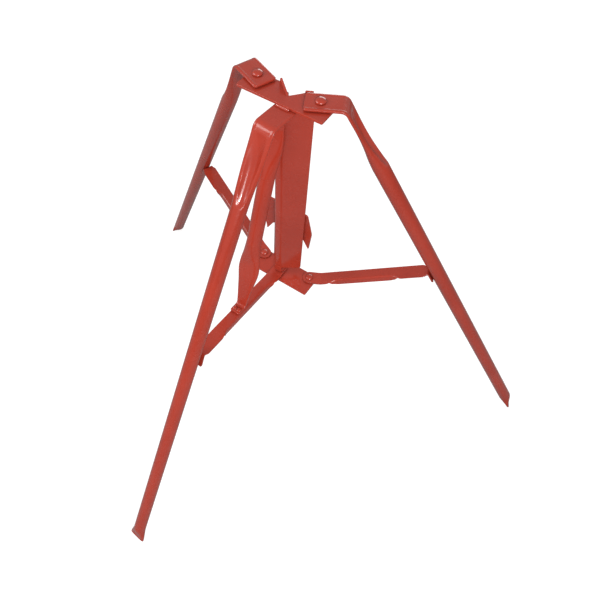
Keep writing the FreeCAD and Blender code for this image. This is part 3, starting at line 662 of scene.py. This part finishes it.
# Braces.  2.5 mm strip, riveted to the lower bracket through a round pad; one edge is turned down along
# the middle of its length and its end is bent into a tab that lies against the leg's inner side.
brace_sheet = 2.5
brace_half = 13.0
brace_neck = 6.0
brace_flange = 13.0
flange_fold = 2.3
pad_length = 20.0
pad_rear = -12.9
pad_rise = 0.5
pad_bend = 26.0
turn_start = 12.0
turn_end = 48.0
turn_run = 24.0
tab_half = 10.0
tab_drop = 24.0
tab_bend = 3.2
tab_narrowing = 9.0
front_rivet = Vector((-6.5, -3.0, 0))
leg_sides = {"right": -1, "left": 1, "front": 1}
joint_drops = {"right": 342.0, "left": 356.0, "front": 372.0}
front_out = Vector((math.cos(azimuths["front"]), math.sin(azimuths["front"]), 0))
front_side = Vector((-front_out.y, front_out.x, 0))
to_rivet = front_rivet - origins["front"]
front_ahead = to_rivet.dot(front_out)
# sideways shift of a brace at its pad and at its leg
brace_shifts = {"right": (0.0, 0.0), "left": (0.0, 0.0), "front": (to_rivet.dot(front_side), 4.0)}
hub_lifts = {"right": slide_gap, "left": slide_gap, "front": 0.0}


def walk(points, radii, step):
    """Places and directions along a line in the X-Z plane with its corners turned into arcs."""
    line = [Vector(points[0])]
    for i, radius in enumerate(radii, start=1):
        here = Vector(points[i])
        into = (here - Vector(points[i - 1])).normalized()
        onward = (Vector(points[i + 1]) - here).normalized()
        setback = radius * math.tan(into.angle(onward) / 2)
        start = here - into * setback
        end = here + onward * setback
        for k in range(9):
            t = k / 8
            line.append(start * (1 - t) ** 2 + here * (2 * t * (1 - t)) + end * t ** 2)
    line.append(Vector(points[-1]))
    dense = [line[0]]
    for a, b in zip(line, line[1:]):
        count = max(1, round((b - a).length / step))
        dense += [a.lerp(b, k / count) for k in range(1, count + 1)]
    travelled = 0.0
    out = []
    for i, p in enumerate(dense):
        if i:
            travelled += (p - dense[i - 1]).length
        run = (dense[min(i + 1, len(dense) - 1)] - dense[max(i - 1, 0)]).normalized()
        out.append((travelled, p, run))
    return out


def brace_joint(name):
    """Where a brace's line ends: its tab's upper corner, drawn in the brace's own plane."""
    reach = leg_plans[name][0]
    tab_z = tab_heights[name]
    out_x = reach + (joint_drops[name] + tab_z) * math.tan(slope)
    if name == "front":
        out_x -= front_ahead
    rise = hub_drop - joint_drops[name] - hub_lifts[name]
    foot = Vector((pad_length, 0, 0))
    along = (Vector((out_x, 0, rise)) - foot).normalized()
    join = Vector((out_x, 0, rise)) - along * ((tube_r + 0.05 + brace_sheet / 2) / along.dot(leg_out))
    return out_x, foot, along, join


def brace_rings(name):
    """Rings of a brace in its own plane: X outwards from its rivet in the lower bracket, its pad at z = 0."""
    out_x, foot, along, join = brace_joint(name)
    upward = Vector((-along.z, 0, along.x))
    edge = leg_sides[name]
    pad_y, end_y = brace_shifts[name]
    length = (join - foot).length
    lift = brace_sheet / 2
    # the strip's middle line meets the tab's middle line here
    start = foot + upward * lift
    cross = leg_down.x * along.z - leg_down.z * along.x
    gap = join - start
    corner = start + along * ((gap.z * leg_down.x - gap.x * leg_down.z) / cross)
    rising = Vector((pad_length + pad_rise, 0, lift))
    line = (Vector((pad_rear, 0, lift)), rising, corner, join + leg_down * tab_drop)
    stations = walk(line, (pad_bend, tab_bend), 2.0)
    rings = []
    pad_end = pad_length - pad_rear
    bend_at = pad_end + (corner - rising).length
    total = stations[-1][0]
    for travelled, place, run in stations:
        x = place.x
        normal = Vector((-run.z, 0, run.x))
        past_pad = travelled - pad_end
        middle = pad_y + (end_y - pad_y) * min(1.0, max(0.0, x / out_x))
        ease = eased((past_pad - turn_start) / turn_run) * eased((length - turn_end - past_pad) / turn_run)
        half = brace_half
        if x < 0:
            half = math.sqrt(max(1.4, brace_half ** 2 - x ** 2))
        half += (tab_half - half) * eased((travelled - bend_at + tab_narrowing) / 8.0)
        left_over = total - travelled
        # the tab's last corners are rounded
        if left_over < 2.5:
            half -= 1.6 * (1 - left_over / 2.5) ** 2
        turn = math.pi / 2 * min(1.0, 1.5 * ease)
        centre_y = half - brace_neck * ease - lift * math.sin(turn) - flange_fold * math.sin(turn)
        straight = max(0.0, brace_flange * ease - flange_fold)
        line = [Vector((-half + (centre_y + half) * k / 10, 0)) for k in range(11)]
        for k in range(1, 8):
            a = turn * k / 7
            # where the edge isn't turned, this keeps the fold's points apart
            fanned = 0.02 * k * (1 - ease)
            line.append(Vector((centre_y + flange_fold * math.sin(a) + fanned,
                                flange_fold * (math.cos(a) - 1))))
        fold_end = line[-1]
        for k in range(1, 4):
            line.append(fold_end + Vector((math.cos(turn), -math.sin(turn))) * (straight + 0.03) * k / 3)
        outline = sheet_outline(line, brace_sheet)
        rings.append([place + Vector((0, middle + edge * p.x, 0)) + normal * p.y for p in outline])
    return rings


def hub_place(name):
    """Origin of a brace's own plane: the middle of its rivet's hole, on the underside of its pad."""
    place = origins[name] + Vector((0, 0, hub_lifts[name] - hub_drop))
    if name == "front":
        place += front_out * front_ahead
    return place


for name, body in leg_bodies.items():
    bm = bmesh.new()
    skin(bm, turned(brace_rings(name), hub_place(name), azimuths[name]))
    finish_piece(name + "_brace_strip", bm, body, [name + "_brace"])

# Centre strut.  A shorter tube from the column down to the front brace, both ends pressed flat and bent;
# the lower end spreads into a spoon with a sharp crease above its two rivets.
# the stations are way from the bend, half width and thickness
strut_top_run = ((0, 13, 5.2), (14, 15.5, 6), (30, 17, 9), (48, 16, 14.5), (66, 14.2, 20.5), (84, 12.7, 25.4))
strut_sway = 7.0
strut_foot_run = ((0, 10, 5.2), (20, 12, 5.2), (50, 16, 5.2), (80, 20.3, 6.2), (100, 19.2, 9),
                  (118, 16.4, 17), (137, 13.9, 23.5), (150, 12.7, 25.4))
strut_tab = 24.0
strut_toe = 21.5
strut_rivet_out = 14.0
strut_gap = 0.05
tube_overlap = 3
strut_middle = Vector((0, -57.0, -165.0))
strut_foot_y = -127.0


def web_spot(y):
    """X, height and slope of the middle of the front brace's narrow strip at a place y."""
    out_x = brace_joint("front")[0]
    rise = (hub_drop - joint_drops["front"]) / (out_x - pad_length)
    distance = (front_rivet.y - y) / -front_out.y
    pad_y, end_y = brace_shifts["front"]
    offset = pad_y + (end_y - pad_y) * distance / out_x - (brace_neck + brace_sheet) / 2
    spot = origins["front"] + front_out * (front_ahead + distance) + front_side * offset
    return spot.x, (distance - pad_length) * rise - hub_drop + brace_sheet * math.hypot(1, rise), rise


def bent_end(corner, tab_dir, tube_dir, tab, stations):
    """Rings from a tab's end over a sharp bend and a crushed length to the round tube."""
    across = Vector((1, 0, 0))
    angle = tab_dir.angle(-tube_dir)
    bend_r = 7.0
    setback = bend_r * math.tan(angle / 2)
    start = corner + tab_dir * setback
    tab_up = across.cross(tab_dir)
    rings = []

    def ring(place, outward, outline):
        rings.append([place + across * u + outward * v for u, v in outline])

    flat = tube_outline(stations[0][1], flat_thick, power=0.5)
    # the tab's end is eased: way in from the end, and how much narrower and thinner it is
    for far, narrower, thinner in ((0.0, 2.6, 1.6), (0.4, 1.5, 0.6), (1.2, 0.6, 0.1), (2.6, 0.0, 0.0)):
        ring(corner + tab_dir * (tab - far), tab_up,
             tube_outline(stations[0][1] - narrower, flat_thick - thinner, power=0.5))
    ring(start, tab_up, flat)
    centre = start + (tube_dir - tab_dir * tube_dir.dot(tab_dir)).normalized() * bend_r
    axis = (-tab_dir).cross(tube_dir).normalized()
    arm = start - centre
    for k in range(1, 11):
        spin = Matrix.Rotation(angle * k / 10, 3, axis)
        ring(centre + spin @ arm, spin @ tab_up, flat)
    tube_up = Matrix.Rotation(angle, 3, axis) @ tab_up
    last = stations[-1][0]
    # only the long spoon is dished
    dished = 1.6 if last > 100 else 0.0
    for k in range(1, 41):
        distance = last * k / 40
        half = curve_through(stations, distance, 1)
        thick = curve_through(stations, distance, 2)
        power = 0.5 + 0.5 * min(1.0, max(0.0, (thick - flat_thick) / 12))
        dish = dished * eased((distance - 30) / 30) * eased((125 - distance) / 40)
        place = corner + tube_dir * (setback + distance * (last - setback) / last)
        ring(place, tube_up, tube_outline(half, thick, dish, power))
    return rings


middle_x = web_spot(strut_foot_y - strut_rivet_out)[0]
height, brace_rise = web_spot(strut_foot_y)[1:]
toe_dir = Vector((0, -1, brace_rise)).normalized()
toe_up = Vector((0, brace_rise, 1)).normalized()
foot = Vector((middle_x, strut_foot_y, height)) + toe_up * (flat_thick / 2 + strut_gap)
lean = (foot.y - strut_middle.y) / (foot.z - strut_middle.z)
top_y = column_front_y - flat_thick / 2 - strut_gap
top = Vector((middle_x, top_y, strut_middle.z + (top_y - strut_middle.y) / lean))
run = (foot - top).normalized()
upper = bent_end(top, Vector((0, 0, 1)), run, strut_tab, strut_top_run)
lower = bent_end(foot, toe_dir, -run, strut_toe, strut_foot_run)
tube_start = top + run * (strut_top_run[-1][0] - tube_overlap)
tube_end = foot - run * (strut_foot_run[-1][0] - tube_overlap)
# the strut's upper end stands a little to the side
for points in upper + lower + [[tube_start, tube_end]]:
    for p in points:
        p.x += strut_sway * (p.z - foot.z) / (top.z - foot.z)
sideways = Vector((1, 0, 0))
outward = sideways.cross(run)
# the middle tube is a hair thinner, so that its skin isn't in the same place as the ends' skins
round_tube = [(u * 0.9995, v * 0.9995) for u, v in tube_outline(tube_r, 2 * tube_r)]
bm = bmesh.new()
skin(bm, upper)
skin(bm, lower)
skin(bm, [[tube_start.lerp(tube_end, k / 6) + sideways * u + outward * v for u, v in round_tube]
          for k in range(7)])
finish_piece("center_strut_tube", bm, "frame", ["center_strut"])

# Rivets.  Domed steel heads closed over both faces, and pulled blind rivets with a small pit where a
# brace's tab meets its leg.  They are set by Geometry Nodes at the places below, one mesh to a body.
pivot_head = 8.0
hub_head = 7.0
small_head = 4.6
small_tail = 3.6
back_rivet_x = (-14.6, 23.2)
back_rivet_z = (-251.0, -290.0)
strut_rivet_rise = strut_tab * 0.6
strut_rivet_x = (-4.5, 4.5)
tail_gap = 0.4
tab_rivet_drops = (6.5, 17.5)
rivet_places = {"frame": [], "right_gate": [], "left_gate": []}


def riveted(body, place, direction, radius, blind=False):
    """Note one rivet head on a body: the middle of its foot, the way it points and its radius."""
    rivet_places[body].append((Vector(place), Vector(direction).normalized(), radius, blind))


for name in ("right", "left"):
    pivot = pivots[name]
    over_tab = 2 * slide_gap + flat_thick
    over_pad = 2 * slide_gap + brace_sheet
    riveted("frame", pivot + Vector((0, 0, over_tab)), (0, 0, 1), pivot_head)
    riveted("frame", pivot + Vector((0, 0, -plate_thick)), (0, 0, -1), hub_head)
    riveted("frame", pivot + Vector((0, 0, -hub_drop + over_pad)), (0, 0, 1), hub_head)
    riveted("frame", pivot + Vector((0, 0, -hub_drop - plate_thick)), (0, 0, -1), hub_head)
riveted("frame", front_rivet + Vector((0, 0, -hub_drop + brace_sheet + sheet)), (0, 0, 1), hub_head)
riveted("frame", front_rivet + Vector((0, 0, -hub_drop - plate_thick)), (0, 0, -1), hub_head)
for x in back_rivet_x:
    for z in back_rivet_z:
        riveted("frame", (x, column_side_y + sheet, z), (0, 1, 0), small_head)
        riveted("frame", (x, column_side_y - sheet, z), (0, -1, 0), small_tail)
riveted("frame", (0, top_y - flat_thick / 2, top.z + strut_rivet_rise), (0, -1, 0), small_head)
riveted("frame", (0, column_front_y + sheet, top.z + strut_rivet_rise), (0, 1, 0), small_tail)
for x in strut_rivet_x:
    spot = foot + toe_dir * strut_rivet_out + Vector((x, 0, 0))
    riveted("frame", spot + toe_up * (flat_thick / 2), toe_up, small_head)
    riveted("frame", spot - toe_up * (flat_thick / 2 + brace_sheet + tail_gap), -toe_up, small_tail)
for name, body in leg_bodies.items():
    join = brace_joint(name)[3]
    turn = Matrix.Rotation(azimuths[name], 3, "Z")
    for tab_rivet_drop in tab_rivet_drops:
        spot = join + leg_down * tab_rivet_drop - leg_out * (brace_sheet / 2)
        spot += Vector((0, brace_shifts[name][1], 0))
        riveted(body, hub_place(name) + turn @ spot, turn @ -leg_out, small_head, True)


def lathe(name, profile, sides):
    """Head of unit radius, turned from a profile of (radius, height) pairs."""
    made = bmesh.new()
    angles = [2 * math.pi * i / sides for i in range(sides)]
    rows = [[made.verts.new((r * math.cos(a), r * math.sin(a), h)) for a in angles] for r, h in profile]
    for low, high in zip(rows, rows[1:]):
        for i in range(sides):
            j = (i + 1) % sides
            made.faces.new((low[i], low[j], high[j], high[i]))
    made.faces.new(rows[0][::-1])
    made.faces.new(rows[-1])
    bmesh.ops.recalc_face_normals(made, faces=made.faces)
    mesh = bpy.data.meshes.new(name)
    made.to_mesh(mesh)
    made.free()
    mesh.shade_smooth()
    mesh.set_sharp_from_angle(angle=math.radians(50))
    shape = bpy.data.objects.new(name, mesh)
    bpy.context.scene.collection.objects.link(shape)
    return shape


button_profile = ((0.4, -0.3), (0.4, 0.0), (0.97, 0.0), (1.0, 0.03), (0.99, 0.09), (0.95, 0.18), (0.86, 0.29),
                  (0.72, 0.385), (0.54, 0.45), (0.34, 0.487), (0.12, 0.5))
blind_profile = ((0.4, -0.3), (0.4, 0.0), (0.97, 0.0), (1.0, 0.04), (0.98, 0.12), (0.86, 0.25), (0.66, 0.36),
                 (0.45, 0.42), (0.36, 0.43), (0.31, 0.41), (0.28, 0.3), (0.27, 0.12), (0.1, 0.1))
button = lathe("button_head", button_profile, 32)
pulled = lathe("blind_head", blind_profile, 28)
rivet_tree = bpy.data.node_groups.new("set_rivets", "GeometryNodeTree")
face = rivet_tree.interface
face.new_socket("Places", in_out="INPUT", socket_type="NodeSocketGeometry")
face.new_socket("Button Head", in_out="INPUT", socket_type="NodeSocketObject")
face.new_socket("Blind Head", in_out="INPUT", socket_type="NodeSocketObject")
face.new_socket("Paint", in_out="INPUT", socket_type="NodeSocketMaterial")
face.new_socket("Size Spread", in_out="INPUT", socket_type="NodeSocketFloat")
face.new_socket("Seed", in_out="INPUT", socket_type="NodeSocketInt")
face.new_socket("Rivets", in_out="OUTPUT", socket_type="NodeSocketGeometry")


def step(kind, **links_in):
    """Node of the rivet tree with its named sockets linked to what is given."""
    made = rivet_tree.nodes.new(kind)
    for socket, source in links_in.items():
        rivet_tree.links.new(source, made.inputs[socket.replace("_", " ")])
    return made


def stored(name, kind):
    """Value that is kept at each rivet's place under a name."""
    made = rivet_tree.nodes.new("GeometryNodeInputNamedAttribute")
    made.data_type = kind
    made.inputs["Name"].default_value = name
    return made.outputs["Attribute"]


given = rivet_tree.nodes.new("NodeGroupInput")
spin = rivet_tree.nodes.new("FunctionNodeRandomValue")
spin.data_type = "FLOAT"
spin.inputs[2].default_value = 0.0
spin.inputs[3].default_value = 6.283
rivet_tree.links.new(given.outputs["Seed"], spin.inputs["Seed"])
aimed = step("FunctionNodeAlignRotationToVector", Vector=stored("aim", "FLOAT_VECTOR"))
aimed.axis = "Z"
own_turn = rivet_tree.nodes.new("FunctionNodeAxisAngleToRotation")
own_turn.inputs["Axis"].default_value = (0, 0, 1)
rivet_tree.links.new(spin.outputs[1], own_turn.inputs["Angle"])
spun = step("FunctionNodeRotateRotation", Rotation=aimed.outputs[0], Rotate_By=own_turn.outputs[0])
spun.rotation_space = "LOCAL"
less = rivet_tree.nodes.new("ShaderNodeMath")
less.operation = "MULTIPLY"
rivet_tree.links.new(given.outputs["Size Spread"], less.inputs[0])
chance = rivet_tree.nodes.new("FunctionNodeRandomValue")
chance.data_type = "FLOAT"
rivet_tree.links.new(given.outputs["Seed"], chance.inputs["Seed"])
rivet_tree.links.new(chance.outputs[1], less.inputs[1])
kept = rivet_tree.nodes.new("ShaderNodeMath")
kept.operation = "SUBTRACT"
kept.inputs[0].default_value = 1.0
rivet_tree.links.new(less.outputs[0], kept.inputs[1])
wide = rivet_tree.nodes.new("ShaderNodeMath")
wide.operation = "MULTIPLY"
rivet_tree.links.new(stored("head_radius", "FLOAT"), wide.inputs[0])
rivet_tree.links.new(kept.outputs[0], wide.inputs[1])
blind = stored("blind", "BOOLEAN")
solid = rivet_tree.nodes.new("FunctionNodeBooleanMath")
solid.operation = "NOT"
rivet_tree.links.new(blind, solid.inputs[0])
gathered = rivet_tree.nodes.new("GeometryNodeJoinGeometry")
for socket, chosen in (("Button Head", solid.outputs[0]), ("Blind Head", blind)):
    shape = step("GeometryNodeObjectInfo", Object=given.outputs[socket])
    placed = step("GeometryNodeInstanceOnPoints", Points=given.outputs["Places"], Selection=chosen,
                  Instance=shape.outputs["Geometry"], Rotation=spun.outputs[0], Scale=wide.outputs[0])
    rivet_tree.links.new(placed.outputs[0], gathered.inputs[0])
whole = step("GeometryNodeRealizeInstances", Geometry=gathered.outputs[0])
coated = step("GeometryNodeSetMaterial", Geometry=whole.outputs[0], Material=given.outputs["Paint"])
result = rivet_tree.nodes.new("NodeGroupOutput")
rivet_tree.links.new(coated.outputs[0], result.inputs[0])
sockets = {item.name: item.identifier for item in face.items_tree if item.in_out == "INPUT"}

for body, replaced in (("frame", ["right_top_pivot_rivet", "left_top_pivot_rivet", "right_hub_pivot_rivet",
                                  "left_hub_pivot_rivet", "front_hub_rivet", "back_plate_rivets",
                                  "strut_top_rivet", "strut_foot_rivets", "front_brace_rivets"]),
                       ("right_gate", ["right_brace_rivets"]), ("left_gate", ["left_brace_rivets"])):
    places = rivet_places[body]
    mesh = bpy.data.meshes.new(body + "_rivet_places")
    mesh.from_pydata([at(p[0]) for p in places], [], [])
    for label, kind in (("aim", "FLOAT_VECTOR"), ("head_radius", "FLOAT"), ("blind", "BOOLEAN")):
        mesh.attributes.new(label, kind, "POINT")
    for i, (point, direction, size, is_blind) in enumerate(places):
        mesh.attributes["aim"].data[i].vector = direction
        mesh.attributes["head_radius"].data[i].value = size / 1000
        mesh.attributes["blind"].data[i].value = is_blind
    rivets = bpy.data.objects.new(body + "_rivet_heads", mesh)
    bpy.context.scene.collection.objects.link(rivets)
    modifier = rivets.modifiers.new("set_rivets", "NODES")
    modifier.node_group = rivet_tree
    modifier[sockets["Button Head"]] = button
    modifier[sockets["Blind Head"]] = pulled
    modifier[sockets["Paint"]] = paint
    modifier[sockets["Size Spread"]] = 0.03
    modifier[sockets["Seed"]] = 7
    evaluated = rivets.evaluated_get(bpy.context.evaluated_depsgraph_get())
    whole_mesh = bpy.data.meshes.new_from_object(evaluated)
    rivets.modifiers.clear()
    rivets.data = whole_mesh
    for old in [a.name for a in whole_mesh.attributes if a.name in ("aim", "head_radius", "blind")]:
        whole_mesh.attributes.remove(whole_mesh.attributes[old])
    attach(rivets, body)
    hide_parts(*replaced)
bpy.data.objects.remove(button)
bpy.data.objects.remove(pulled)

size = {"cad": [list(corner) for corner in cad_box], "visual": [list(corner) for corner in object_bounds()]}
